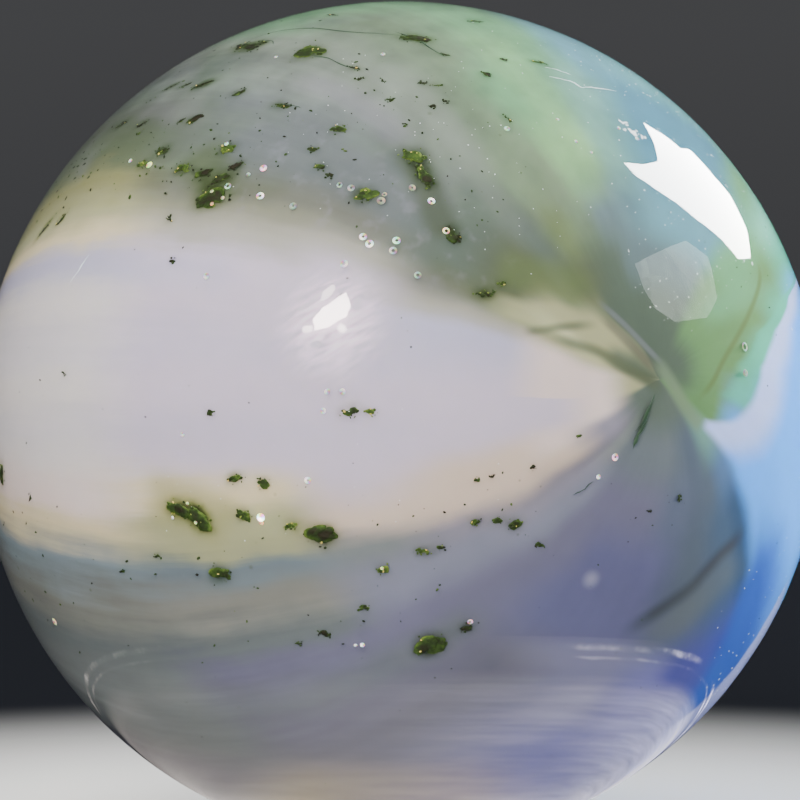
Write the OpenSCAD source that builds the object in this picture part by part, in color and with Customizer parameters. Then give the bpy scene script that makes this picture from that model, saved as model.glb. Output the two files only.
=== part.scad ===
// Glass marble: one ball of swirled glass, rolled round while hot.
// Millimetres. The origin is the ball's centre and +Z is up.

/* [Ball] */
// Diameter of the ball across any axis
marble_d = 16; // [10:0.5:50]

/* [Hidden] */
$fn = 192;

// Mean colour of the milky grey, green and blue glass
glass_colour = [0.62, 0.64, 0.68];

// The whole object: the coloured glasses are fused in one piece, so they are one solid.
module marble() {
    color(glass_colour) sphere(d = marble_d);
}

marble();
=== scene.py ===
"""Looks of the glass marble: clear glass over milky swirled glass, with mineral flecks between.

Lengths are in metres, in the CAD frame: the origin is the ball's centre, +Z is up, and the
camera looks along +Y. Places on the ball are an azimuth and an elevation in degrees, where
azimuth 0 faces the camera and grows towards +X.

The swirl has coordinates of its own. Every veil of colour runs out of one point, the seam.
"reach" is the angle from the seam, and "turn" goes clockwise round it: the milky tongue lies
between 300 and 360, which is also -60 to 0, and the coloured glass lies between 0 and 300.
"""

import math

import bmesh
import bpy
import numpy as np
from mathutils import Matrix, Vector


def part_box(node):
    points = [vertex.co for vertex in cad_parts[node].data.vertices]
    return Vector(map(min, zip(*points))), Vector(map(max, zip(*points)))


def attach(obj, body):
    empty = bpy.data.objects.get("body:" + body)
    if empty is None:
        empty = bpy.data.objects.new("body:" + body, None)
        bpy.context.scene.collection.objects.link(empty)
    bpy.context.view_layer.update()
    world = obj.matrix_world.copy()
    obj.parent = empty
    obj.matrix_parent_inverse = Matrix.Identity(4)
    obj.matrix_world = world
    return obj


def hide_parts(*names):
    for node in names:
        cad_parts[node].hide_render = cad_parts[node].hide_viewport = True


MM = 0.001

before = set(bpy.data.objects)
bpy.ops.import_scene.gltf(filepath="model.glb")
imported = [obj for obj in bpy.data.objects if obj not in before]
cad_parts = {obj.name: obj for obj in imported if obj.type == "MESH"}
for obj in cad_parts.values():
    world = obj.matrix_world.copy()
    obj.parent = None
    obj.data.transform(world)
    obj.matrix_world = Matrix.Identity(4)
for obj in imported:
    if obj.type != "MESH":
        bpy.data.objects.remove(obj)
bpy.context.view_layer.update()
low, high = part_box("marble")
RADIUS = (high.z - low.z) / 2

# The camera: where it stands, its lens and sensor in mm, and how the ball fills and sits in its
# frame.
VIEW_ELEVATION = 4.0
LENS = 300.0
SENSOR = 36.0
BALL_FILL = 1.055
BALL_DROP = 0.0575

# Depths in the ball, as shares of its radius. What lies on the milky glass has its own lift over it.
BODY_SHARE = 0.968
TONGUE_RISE = 0.013
FLECK_LIFT = 0.0015
DUST_LIFT = (0.001, 0.008)
THREAD_LIFT = 0.002
BUBBLE_LIFT = (0.003, 0.008)
NICK_SHARE = 0.9965
# Furrows in the milky glass: depth as such a share, and their pitch, sway and length.
FURROWS = [(0.0008, 21, 3, 2.2), (0.0005, 47, 2, 3.1)]
# The tongue's rise: the turns past its middle between which it falls, and the reaches between which
# it begins and ends. The furrows begin further out and end with it.
TONGUE_FALLS = (24, 36)
TONGUE_BEGINS = (3, 16)
FURROWS_BEGIN = (42, 96)
GLASS_ENDS = (160, 176)

# The seam: where it lies, and how far the swirl is rolled about it.
SEAM_AZIMUTH = 37.0
SEAM_ELEVATION = 9.0
SEAM_ROLL = 2.4

# The milky tongue's two edges: (reach, angle round the seam counted from the right).
TONGUE_TOP = [(0, 165), (10, 161), (20, 154), (30, 151), (60, 149), (180, 150)]
TONGUE_LOW = [
    (0, -130), (8, -134), (20, -142), (40, -148), (60, -154), (80, -158), (100, -163), (120, -168),
    (180, -168),
]
# The turns that the tongue and the coloured glass take up.
TONGUE_TURN = 60.0
GLASS_TURN = 300.0
# The body's mesh stores the turn as a direction, whose cut lies in the middle of the tongue, and
# the reach in units of this many degrees.
TURN_CUT = 150.0
STORED_REACH = 60.0
# Behind, the veils curl round the far gather by this many degrees, from one reach to another.
FAR_CURL = 130.0
FAR_CURL_REACH = (108, 178)

# The edge of the sky blue veil: (turn, reach).
SKY_EDGE = [
    (110, 75), (124, 62), (128, 50), (130, 38), (137, 28), (150, 21), (165, 18.5), (180, 15), (196, 10),
    (260, 8),
]
# Where the blue veil ends against the slate glass below: (reach, turn).
BLUE_END = [
    (0, 204), (10, 202), (14, 198), (18, 194.5), (25, 193), (30, 195), (34, 200), (39, 206), (50, 211),
    (70, 216), (180, 220),
]

# The noises that bend the veils: two drawn out along the flow, which grow from one reach to
# another, and two even ones with their scales, which do the same closer to the seam.
BROAD_FLOW = (5.5, 5.5, 0.9)
FINE_FLOW = (22, 22, 2.2)
FLOW_GROWS = (34, 84)
DRIFT_SCALE = 260
SWELL_SCALE = 620
DRIFT_GROWS = (3, 26)
# By how many degrees they bend the turn, and the last one only behind, and the reach.
BROAD_TURN, FINE_TURN, SWELL_TURN, FAR_DRIFT_TURN = 2.6, 1.3, 1.3, 9
FAR_DRIFT_GROWS = (100, 150)
DRIFT_REACH, FINE_REACH = 2.2, 2
# The light that they give to the streaks in the glass.
BROAD_LIGHT, FINE_LIGHT, SWELL_LIGHT = 0.13, 0.12, 0.06

# Base colours of the glasses, linear.
PEARL = (0.56, 0.52, 0.51)
MILK = (0.48, 0.42, 0.505)
BLUE_MILK = (0.39, 0.375, 0.485)
BLUSH = (0.6, 0.5, 0.47)
CREAM = (0.56, 0.48, 0.31)
OAT = (0.52, 0.42, 0.345)
MAUVE = (0.225, 0.21, 0.255)
MIST = (0.2, 0.2, 0.15)
LIGHT_MIST = (0.31, 0.3, 0.26)
DIM_MIST = (0.135, 0.14, 0.115)
PEWTER = (0.122, 0.138, 0.14)
KHAKI = (0.2, 0.2, 0.095)
DARK_KHAKI = (0.085, 0.108, 0.066)
SAND = (0.31, 0.31, 0.18)
DRAB = (0.15, 0.17, 0.1)
UMBER = (0.105, 0.098, 0.075)
MOSS = (0.085, 0.1, 0.06)
OLIVE = (0.1, 0.135, 0.055)
OLIVE_MILK = (0.29, 0.28, 0.13)
# Painted shade under the flecks.
FLECK_SHADE = (0.03, 0.042, 0.018)
DARK_SMOKE = (0.07, 0.085, 0.062)
SMOKE = (0.095, 0.12, 0.1)
HAZE = (0.175, 0.205, 0.17)
FOG = (0.15, 0.205, 0.13)
PALE_GREEN = (0.19, 0.335, 0.165)
SAGE = (0.13, 0.27, 0.145)
FERN = (0.122, 0.16, 0.078)
SLATE_GREEN = (0.075, 0.1, 0.075)
LEAF = (0.105, 0.2, 0.085)
BRIGHT_LEAF = (0.115, 0.265, 0.135)
TEAL = (0.075, 0.36, 0.25)
VERDIGRIS = (0.125, 0.245, 0.205)
STEEL = (0.1, 0.22, 0.26)
DEEP_STEEL = (0.065, 0.168, 0.225)
GLACIER = (0.125, 0.31, 0.32)
MINT_LEAF = (0.16, 0.45, 0.34)
DIM_STEEL = (0.1, 0.14, 0.145)
LAVENDER = (0.37, 0.45, 0.74)
SKY = (0.08, 0.32, 0.84)
LIMB_HIGHLIGHT_BLUE = (0.3, 0.32, 0.57)
COBALT = (0.026, 0.078, 0.34)
INDIGO = (0.03, 0.055, 0.17)
NIGHT = (0.05, 0.058, 0.075)
HARBOUR = (0.078, 0.138, 0.25)
DEEP_HARBOUR = (0.042, 0.075, 0.135)
DIM_HARBOUR = (0.06, 0.094, 0.15)
BLUE_SLATE = (0.088, 0.11, 0.142)
PALE_SLATE = (0.13, 0.15, 0.165)
DUSK_SLATE = (0.108, 0.126, 0.18)
VIOLET = (0.113, 0.115, 0.212)
DUSK = (0.138, 0.134, 0.198)
PALE_DUSK = (0.19, 0.195, 0.25)
SLATE = (0.106, 0.102, 0.138)
BLUE_GREY = (0.18, 0.195, 0.195)
COOL_GREY = (0.15, 0.185, 0.208)
WARM_GREY = (0.205, 0.203, 0.178)
SEA_GREY = (0.19, 0.235, 0.262)
WARM_SLATE = (0.114, 0.112, 0.146)
BLUE_VIOLET = (0.066, 0.07, 0.25)
DEEP_VIOLET = (0.042, 0.06, 0.26)
PALE_SAND = (0.42, 0.42, 0.27)
DIM_FOG = (0.122, 0.168, 0.11)
OLIVE_SHADE = (0.062, 0.085, 0.034)
DRY_GREY = (0.165, 0.168, 0.15)

# The glasses met on the way round the seam, ring by ring outward: (turn, glass).
SEAM_RING = [
    (-30, SAND), (-12, SAND), (-2, DRAB), (40, DRAB), (54, SLATE_GREEN), (130, SLATE_GREEN), (200, LEAF),
    (220, SMOKE), (318, SMOKE), (330, SAND),
]
TIP_RING = [
    (-30, BLUSH), (-16, BLUSH), (-4, SAND), (20, SAND), (30, DRAB), (38, SLATE_GREEN), (100, SLATE_GREEN),
    (114, LEAF), (192, LEAF), (206, VERDIGRIS), (222, BLUE_SLATE), (248, PALE_SLATE), (284, PALE_SLATE),
    (292, BLUE_GREY), (302, MAUVE), (310, MAUVE), (318, BLUSH), (330, BLUSH),
]
FOLD_RING = [
    (-30, BLUSH), (-12, BLUSH), (-4, SAND), (4, PALE_SAND), (10, SAND), (18.5, DRAB), (28, MOSS),
    (52, SLATE_GREEN), (64, DIM_STEEL), (98, DIM_STEEL), (110, LEAF), (120, BRIGHT_LEAF), (132, LEAF),
    (152, LEAF), (166, STEEL), (188, SKY), (204, HARBOUR), (216, BLUE_SLATE), (236, DUSK_SLATE),
    (256, DUSK), (276, DUSK), (287, PALE_DUSK), (297, MAUVE), (303, OAT), (313, BLUSH), (321, MILK),
    (330, MILK),
]
NEAR_RING = [
    (-30, MILK), (-13, BLUE_MILK), (-9, LIGHT_MIST), (-4, DRAB), (0, MOSS), (16, MOSS), (24, SMOKE),
    (34, FERN), (45, DIM_FOG), (54, DIM_STEEL), (82, STEEL), (100, STEEL), (110, BRIGHT_LEAF),
    (122, BRIGHT_LEAF), (132, LEAF), (146, TEAL), (160, SKY), (193, SKY), (203, DEEP_HARBOUR),
    (211, DIM_HARBOUR), (226, BLUE_SLATE), (246, VIOLET), (264, VIOLET), (278, DUSK), (288, PALE_DUSK),
    (295, MAUVE), (303, OAT), (312, OAT), (320, MILK), (330, MILK),
]
INNER_RING = [
    (-30, MILK), (-13, BLUE_MILK), (-9.5, LIGHT_MIST), (-4, DIM_MIST), (1, SMOKE), (24, SMOKE), (32, FOG),
    (42, FOG), (48, PALE_GREEN), (55, PALE_GREEN), (64, VERDIGRIS), (78, DEEP_STEEL), (104, STEEL),
    (114, BRIGHT_LEAF), (122, LEAF), (134, TEAL), (160, SKY), (194, SKY), (205, DEEP_HARBOUR),
    (212, DIM_HARBOUR), (226, BLUE_SLATE), (246, VIOLET), (268, VIOLET), (282, DUSK), (293, PALE_DUSK),
    (299, MAUVE), (304, OAT), (311, OAT), (318, MILK), (330, MILK),
]
MIDDLE_RING = [
    (-30, MILK), (-8, MILK), (-3, LIGHT_MIST), (2, DIM_MIST), (7, PEWTER), (14, PEWTER), (20, SMOKE),
    (28, HAZE), (38, DIM_FOG), (49, SAGE), (55, SAGE), (64, VERDIGRIS), (78, DEEP_STEEL), (98, DEEP_STEEL),
    (107, BRIGHT_LEAF), (115, MINT_LEAF), (123, TEAL), (134, SKY), (180, COBALT), (202, COBALT),
    (210, DEEP_VIOLET), (220, BLUE_VIOLET), (232, BLUE_VIOLET), (244, VIOLET), (266, WARM_SLATE),
    (284, DUSK), (294, PALE_DUSK), (300.5, BLUE_GREY), (305.5, OAT), (315, MILK), (330, MILK),
]
OUTER_RING = [
    (-30, MILK), (-10, MILK), (-5, LIGHT_MIST), (-1, MIST), (3, DIM_MIST), (8, PEWTER), (21, PEWTER),
    (31, HAZE), (43, DIM_FOG), (58, SAGE), (72, STEEL), (87, GLACIER), (97, GLACIER), (108, MINT_LEAF),
    (120, TEAL), (136, SKY), (160, SKY), (178, COBALT), (208, COBALT), (216, DEEP_VIOLET),
    (238, BLUE_VIOLET), (267, WARM_SLATE), (284, DUSK), (289, PEWTER), (294, WARM_GREY), (299, COOL_GREY),
    (302.5, SAND), (308, SAND), (313, CREAM), (319, MILK), (330, MILK),
]
LIMB_RING = [
    (-30, PEARL), (-17, PEARL), (-11, BLUE_MILK), (-7, CREAM), (-2, SAND), (4, KHAKI), (9, DARK_KHAKI),
    (16, DARK_SMOKE), (23, SMOKE), (30, HAZE), (42, SAGE), (60, SAGE), (80, DIM_STEEL), (110, STEEL),
    (134, TEAL), (160, SKY), (184, COBALT), (214, COBALT), (226, INDIGO), (244, VIOLET), (262, SLATE),
    (273, PEWTER), (280, BLUE_GREY), (288, PEWTER), (294, DRY_GREY), (300, SEA_GREY), (306, CREAM),
    (311, BLUSH), (319, PEARL), (330, PEARL),
]
FAR_RING = [
    (-30, PEARL), (-6, MILK), (6, HAZE), (20, SMOKE), (40, PALE_GREEN), (56, MILK), (96, MILK),
    (110, CREAM), (122, LEAF), (146, TEAL), (168, SKY), (190, COBALT), (210, INDIGO), (228, SMOKE),
    (244, MILK), (262, MILK), (276, BLUE_GREY), (298, BLUE_GREY), (306, CREAM), (320, PEARL), (330, PEARL),
]
# The rings after the first, with the reaches where each begins and is full.
RINGS = [
    (TIP_RING, 4, 10), (FOLD_RING, 10.5, 17), (NEAR_RING, 17, 24), (INNER_RING, 24, 33),
    (MIDDLE_RING, 33, 44), (OUTER_RING, 46, 55), (LIMB_RING, 71, 86), (FAR_RING, 114, 144),
]

# Single veils: glass, turn from and to, reach from and to, soft edge, strength.
VEILS = [
    (PALE_GREEN, 50, 57, 27, 60, 3, 0.42),
    (HAZE, 22, 32, 40, 80, 4, 0.5),
    (MOSS, 1, 7, 58, 80, 3, 0.45),
    (SLATE_GREEN, 56, 78, 70, 100, 8, 0.6),
    (BLUE_MILK, -25, -21, 36, 110, 4, 0.4),
    (BLUE_MILK, 320, 325, 36, 110, 4, 0.3),
    (BLUE_MILK, -15, -9, 60, 110, 3, 0.5),
    (PEWTER, 275, 281, 40, 96, 3, 0.6),
    (OLIVE_SHADE, 5, 15, 71, 80, 4, 0.3),
]

# Lines and wisps in the body: name, glass, half width and softness in degrees, strength, way
# (azimuth, elevation).
BODY_LINES = [
    ("dark_fold", DARK_SMOKE, 0.7, 2.8, 0.9, [(1, 44), (4, 38), (6, 32), (8, 28)]),
    ("pale_fold", HAZE, 0.4, 2.6, 0.45, [(-14, 62), (0, 57), (8, 50), (12.5, 42), (16, 34), (19.5, 28)]),
    ("mauve_fold", MAUVE, 0.4, 3, 0.35, [(-30, 57), (-14, 54), (-3, 48), (2, 42)]),
    ("cluster_haze", OLIVE_SHADE, 1, 4.6, 0.62, [(-41, 43), (-36, 40), (-32, 36), (-30, 32)]),
    ("fleck_glow", OLIVE_MILK, 1.6, 3.6, 0.6, [(-37, -6.5), (-31, -7), (-26, -8.6), (-22, -11)]),
    ("olive_wisp", OLIVE, 0.9, 3.4, 0.6, [(13, 25), (18, 23.8), (24, 22.5), (29, 19.5)]),
    ("moss_wisp", MOSS, 0.3, 2.4, 0.55, [(3, 26.5), (8, 22.8), (13, 20.8), (18, 20)]),
    ("sand_wisp", SAND, 0.7, 1.8, 0.75, [(11, 20.2), (17, 18.4), (24, 17.4), (30, 14.8), (34, 11.6)]),
    ("slate_wedge", SLATE_GREEN, 0.6, 2.2, 0.7, [(34, 17.5), (37, 14), (40, 10), (42.5, 6)]),
    ("tip_shade", SLATE_GREEN, 0.3, 1.8, 0.75, [(28.5, 13.2), (32, 11.2), (35.5, 9), (38.5, 6)]),
    ("tip_thread", MOSS, 0.05, 1, 0.75, [(16.6, 15.9), (19.5, 15.9), (23, 16.4), (29, 16.6)]),
    ("tip_edge", MOSS, 0.08, 1.3, 0.85,
     [(18.4, 15.8), (23.5, 14.2), (27.7, 12.9), (31.5, 10.8), (35.5, 8.9), (38, 7.2)]),
    ("crease_shade", SLATE_GREEN, 0.3, 0.8, 0.9, [(29, 19.6), (32.6, 16.7), (35.8, 13.4), (38.4, 10.6)]),
    ("crease", PEWTER, 0.14, 0.5, 0.9, [(28.6, 20), (32.4, 16.6), (35.5, 13.4), (38.7, 10.2)]),
    ("crease_brown", UMBER, 0.2, 0.9, 0.6, [(28.6, 18), (31.6, 15.2), (34.4, 12.4), (37.6, 9.2)]),
    ("ridge", FOG, 0.2, 1.5, 0.75, [(36.5, 12), (38.6, 9.2), (41, 5.6), (43.2, 3.2), (44.6, 1.8)]),
    ("olive_fold", OLIVE, 0.05, 0.7, 0.75,
     [(66.5, 24), (64.4, 21.2), (58, 16.8), (50.4, 11.5), (46.6, 7.9), (43, 5.6)]),
    ("lower_thread", NIGHT, 0.1, 2, 0.95,
     [(55.4, -11), (53.3, -13.5), (50.5, -15.4), (48, -17.6), (45.7, -19.8), (41.5, -22.2), (37.6, -24.3),
      (33.6, -26.6)]),
    ("drab_wedge", PEWTER, 0.4, 4.4, 0.45,
     [(55, -14.5), (52.6, -17.8), (49.6, -20.6), (46, -23.4), (41.4, -26.6), (36, -29)]),
]

# A pale blister in the violet glass: its place and how far it spreads.
BLISTER = (27.4, -17.5)
BLISTER_SPREAD = 0.24 * MM

# The body's rings: reaches from, to and step, close together near the seam, then the last one.
BODY_RINGS = [(0.4, 8, 0.4), (8, 128, 1), (128, 178, 1.6)]
BODY_LAST_RING = 178.4
BODY_COLUMNS = 360
# How far light wanders in the body.
BODY_SCATTER = 0.6 * MM
# The skin's uneven surface: how many waves it is made of, and how deep they go together.
SKIN_WAVES = 14
SKIN_WAVINESS = 0.006 * MM

# Mineral flecks: azimuth, elevation, length and width in mm, heading from the right, tone from
# 0, nearly black, to 1, yellow green.
LARGE_FLECKS = [
    (-30.3, -8, 0.6, 0.34, -18, 0.55), (-27.4, -9.1, 0.58, 0.38, -38, 0.4),
    (-10.4, -10.6, 0.54, 0.42, -6, 0.16), (-14.5, -9.5, 0.26, 0.17, 20, 0.72),
    (-32, 34.5, 0.52, 0.46, 10, 0.3), (-31.5, 37.5, 0.42, 0.24, 30, 0.24), (2.5, 42, 0.5, 0.32, -20, 0.62),
    (4, 38.5, 0.62, 0.24, -66, 0.3), (4.5, -26.4, 0.54, 0.42, 15, 0.32), (-28, 63.5, 0.56, 0.5, 10, 0.6),
    (-57, 64.5, 0.8, 0.34, -4, 0.22), (-5.5, 35.5, 0.46, 0.28, 10, 0.55), (8, 29.5, 0.42, 0.26, -50, 0.14),
    (5.5, 68, 0.62, 0.34, -12, 0.2), (-25.5, -16.5, 0.42, 0.38, 0, 0.34),
]
SMALL_FLECKS = [
    (-52, 66, 0.3, 0.12, -10, 0.3), (-12, 59.5, 0.3, 0.09, -25, 0.2), (13.5, 63, 0.16, 0.11, -30, 0.1),
    (-45, 77, 0.3, 0.14, -5, 0.2), (-10, 57, 0.22, 0.1, 0, 0.2), (-4, 56.5, 0.18, 0.06, -60, 0.2),
    (-53, 55, 0.52, 0.13, 32, 0.15), (-45.5, 48, 0.4, 0.22, 32, 0.2), (-49, 47.5, 0.22, 0.1, 50, 0.15),
    (-39, 53.5, 0.34, 0.16, 40, 0.15), (-70.5, 46, 0.4, 0.14, 30, 0.3), (-61.5, 46.5, 0.32, 0.12, 30, 0.3),
    (-66, 54, 0.36, 0.09, 38, 0.15), (-60, 54.5, 0.34, 0.08, 36, 0.15), (-48, 42, 0.36, 0.18, 20, 0.2),
    (-51, 39.5, 0.34, 0.16, 0, 0.6), (-40.5, 39, 0.34, 0.24, 0, 0.62), (-35.5, 38.5, 0.4, 0.24, 25, 0.12),
    (-33, 43, 0.34, 0.24, -5, 0.58), (-29.5, 40, 0.28, 0.17, 28, 0.12), (-38, 31, 0.2, 0.1, -45, 0.3),
    (-71, 28.5, 0.6, 0.12, 55, 0.15), (-66, 30, 0.36, 0.14, 50, 0.25), (-35, 25, 0.14, 0.12, 0, 0.2),
    (-25.5, 51, 0.42, 0.14, -8, 0.2), (-12, 46.5, 0.28, 0.24, 0, 0.45), (-16, 43, 0.22, 0.14, -8, 0.4),
    (-14, 40, 0.24, 0.17, 0, 0.3), (-12, 38.5, 0.2, 0.14, -40, 0.15), (-2, 52.5, 0.18, 0.12, 20, 0.1),
    (1, 47.5, 0.14, 0.08, -40, 0.15), (5.5, 56, 0.16, 0.12, 0, 0.1), (10, 52, 0.16, 0.12, 0, 0.1),
    (7, 51, 0.13, 0.11, 0, 0.1), (8.5, 55.5, 0.18, 0.06, 0, 0.2), (22, 58, 0.22, 0.12, -45, 0.15),
    (30.5, 61.5, 0.18, 0.09, -40, 0.3), (41.5, 60.5, 0.38, 0.1, -28, 0.6), (22, 48.5, 0.22, 0.08, -72, 0.3),
    (12, 21, 0.42, 0.13, 4, 0.5), (14.5, 22.5, 0.2, 0.1, 10, 0.5), (-6.5, 5.5, 0.34, 0.2, 4, 0.6),
    (-3.8, 5.5, 0.2, 0.16, 0, 0.85), (-25.5, 5, 0.15, 0.13, 0, 0.2), (-22, -3.5, 0.34, 0.17, 8, 0.22),
    (-18, -4, 0.25, 0.2, 0, 0.42), (-21, -8.5, 0.32, 0.2, -20, 0.5), (-69, -5.5, 0.4, 0.3, 80, 0.4),
    (-60, -8, 0.16, 0.1, 60, 0.2), (-5, -21, 0.18, 0.13, 10, 0.3), (-11, -25, 0.26, 0.16, -15, 0.12),
    (9.5, -24, 0.26, 0.14, 12, 0.1), (10, -9, 0.2, 0.13, 0, 0.3), (13, -9, 0.2, 0.15, 0, 0.2),
    (15.5, -9.5, 0.26, 0.23, 10, 0.5), (19, -12.5, 0.2, 0.13, 0, 0.1), (3, -13, 0.3, 0.12, -8, 0.4),
    (5.5, -12.5, 0.16, 0.11, 0, 0.4), (-2.3, -15.5, 0.22, 0.2, 0, 0.8), (35.5, -8.5, 0.11, 0.08, 0, 0.1),
    (40.5, -7, 0.14, 0.09, 70, 0.1), (17.5, -2, 0.14, 0.1, 20, 0.2), (12, -3, 0.1, 0.08, 0, 0.2),
    (10, -3.5, 0.12, 0.1, 0, 0.2), (24, 2, 0.09, 0.08, 0, 0.2), (-51.5, 9, 0.16, 0.05, -20, 0.2),
    (-15, -26.5, 0.14, 0.1, 0, 0.3), (-35, -14.5, 0.16, 0.09, 0, 0.3), (-42, -17, 0.14, 0.08, 20, 0.3),
    (40, 74, 0.3, 0.12, 0, 0.3), (118, 30, 0.5, 0.3, 20, 0.5), (150, -12, 0.7, 0.4, -20, 0.3),
    (-150, 25, 0.6, 0.4, 35, 0.4), (-110, -20, 0.45, 0.3, 10, 0.3), (-95, 38, 0.5, 0.25, 25, 0.5),
    (175, 45, 0.4, 0.25, 0, 0.2), (-128, 5, 0.3, 0.2, -30, 0.4), (95, -35, 0.35, 0.2, 30, 0.3),
    (-165, -30, 0.5, 0.3, 40, 0.3), (130, 55, 0.4, 0.3, -30, 0.4), (-120, 55, 0.4, 0.2, 20, 0.5),
    (105, 8, 0.3, 0.2, 60, 0.2), (-140, -8, 0.3, 0.2, 0, 0.6),
]
# The mineral's colours by tone.
MINERAL = [(0, (0.015, 0.013, 0.007)), (0.2, (0.017, 0.03, 0.008)), (0.4, (0.038, 0.072, 0.012)),
           (0.62, (0.115, 0.165, 0.026)), (0.82, (0.3, 0.36, 0.06)), (1, (0.8, 0.56, 0.16))]
# Half sizes in mm of the crumbs and of the bright grains about a fleck, which are partly painted glints.
CRUMB_SIZE = (0.008, 0.028)
BRIGHT_GRAIN_SIZE = (0.012, 0.028)
# The dents in every grain: how many waves, their pitch and their share of the depth.
DENTS = [(3, 2.4, 0.5), (4, 5, 0.35), (5, 10, 0.25)]
# The flecks' stain, which also sets the painted shade under them: how far it spreads past them in mm,
# its tint and its most.
STAIN_MARGIN = 0.1
STAIN_TINT = (0.38, 0.46, 0.24)
STAIN_MOST = 1.3

# Dust and pale specks along the veils: turn from and to, reach from and to, grains, longest in mm.
DUST_BANDS = [
    (0, 14, 60, 112, 130, 0.1), (0, 45, 30, 112, 190, 0.085), (284, 312, 24, 112, 90, 0.085),
    (-58, -4, 30, 110, 40, 0.05), (225, 285, 15, 90, 70, 0.05), (60, 200, 20, 120, 90, 0.04),
    (0, 60, 112, 170, 120, 0.08), (100, 320, 110, 172, 160, 0.07),
]
SPECK_BANDS = [
    (58, 130, 8, 62, 190, 0.034), (68, 128, 50, 74, 210, 0.058), (150, 215, 34, 64, 80, 0.034),
    (178, 214, 50, 62, 60, 0.055), (2, 58, 22, 66, 90, 0.022), (300, 330, 20, 90, 30, 0.02),
]
# What every grain of dust has on top of its own half size.
DUST_LEAST = 0.006 * MM

# Dark stringers and pale threads: thickness in mm, then the way (azimuth, elevation).
STRINGERS = [
    (0.035, [(-63, 65.5), (-57, 69), (-40.6, 71), (-22, 70), (-6, 69.3), (5.4, 68.3)]),
    (0.045, [(-2, 70.2), (5.4, 67.8), (10, 65), (13.4, 62.8)]),
    (0.035, [(-27, 62.6), (-20, 61.8), (-15.5, 60.2), (-11.5, 59.2)]),
    (0.03, [(-54, 66), (-50, 66.4), (-46, 65.2)]),
    (0.075, [(36, 7), (35.2, 5.4), (34, 3.6), (33, 2)]),
    (0.095, [(34.6, 3.6), (33.6, 2.2), (32.8, 1), (32.2, 0)]),
    (0.05, [(35.8, 6.4), (34.6, 3.8), (32.8, 2.2)]),
    (0.03, [(23.4, -5.8), (24.8, -5.1), (26.2, -4.1)]),
    (0.032, [(-27, 51.3), (-23.5, 51), (-21.5, 50.4)]),
]
PALE_THREADS = [
    (0.034, [(-52.5, 25.4), (-53.5, 23.4), (-54.9, 21)]),
    (0.045, [(39.8, 57), (43, 56.2), (45.6, 55.2), (46.6, 54), (50, 53.8), (57.5, 52.8)]),
    (0.03, [(41.5, 59.2), (45, 58.2), (47.5, 57)]),
]
# How far a thread wanders at each step, as a share of the radius.
THREAD_WANDER = 0.0006

# Mottled glasses: dark and light colour, roughness.
DARK_GLASS = ((0.01, 0.022, 0.016), (0.03, 0.075, 0.03), 0.35)
PALE_GLASS = ((0.55, 0.68, 0.7), (0.9, 0.95, 0.95), 0.3)
PALE_MINERAL = ((0.45, 0.52, 0.52), (0.95, 0.97, 0.97), 0.4)
SCAR_GLASS = ((0.42, 0.5, 0.53), (0.9, 0.93, 0.93), 0.4)
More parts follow.
